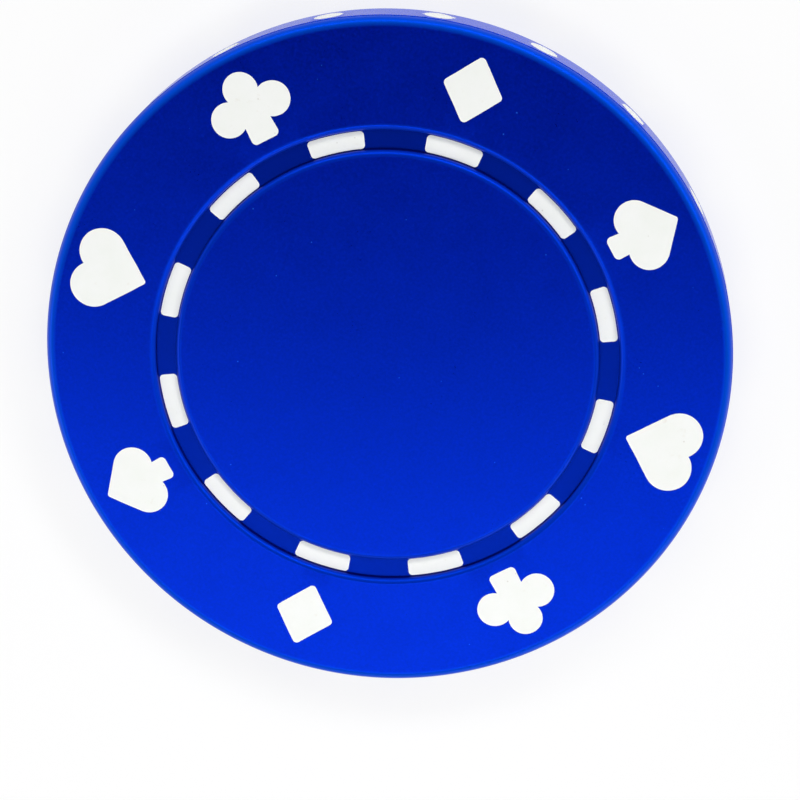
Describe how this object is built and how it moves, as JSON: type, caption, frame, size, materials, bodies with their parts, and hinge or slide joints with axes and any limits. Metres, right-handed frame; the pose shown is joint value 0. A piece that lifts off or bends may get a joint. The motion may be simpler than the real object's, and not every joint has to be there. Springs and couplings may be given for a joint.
{
  "type": "poker chip",
  "caption": "Round poker chip: a blue moulded shell over a white moulded core and a steel slug, with card suits, dashes and edge spots showing flush in both faces and the side wall.",
  "frame": {"origin": "centre of the lower face, on the surface that the chip rests on", "axes": "+Z is the chip's axis, from the lower face to the upper face; +X runs out through the middle of a heart and +Y through the middle of a diamond on the upper face"},
  "size_m": [0.039, 0.039, 0.0032],
  "materials": {
    "slug_steel": "punched sheet steel, bevelled rim, never seen",
    "white_plastic": "filled moulded plastic, fine matte",
    "blue_plastic": "filled moulded plastic with a fine spark-eroded matte grain"
  },
  "bodies": {
    "root": {"steel_slug": "slug_steel", "white_core": "white_plastic", "blue_shell": "blue_plastic"}
  },
  "joints": []
}
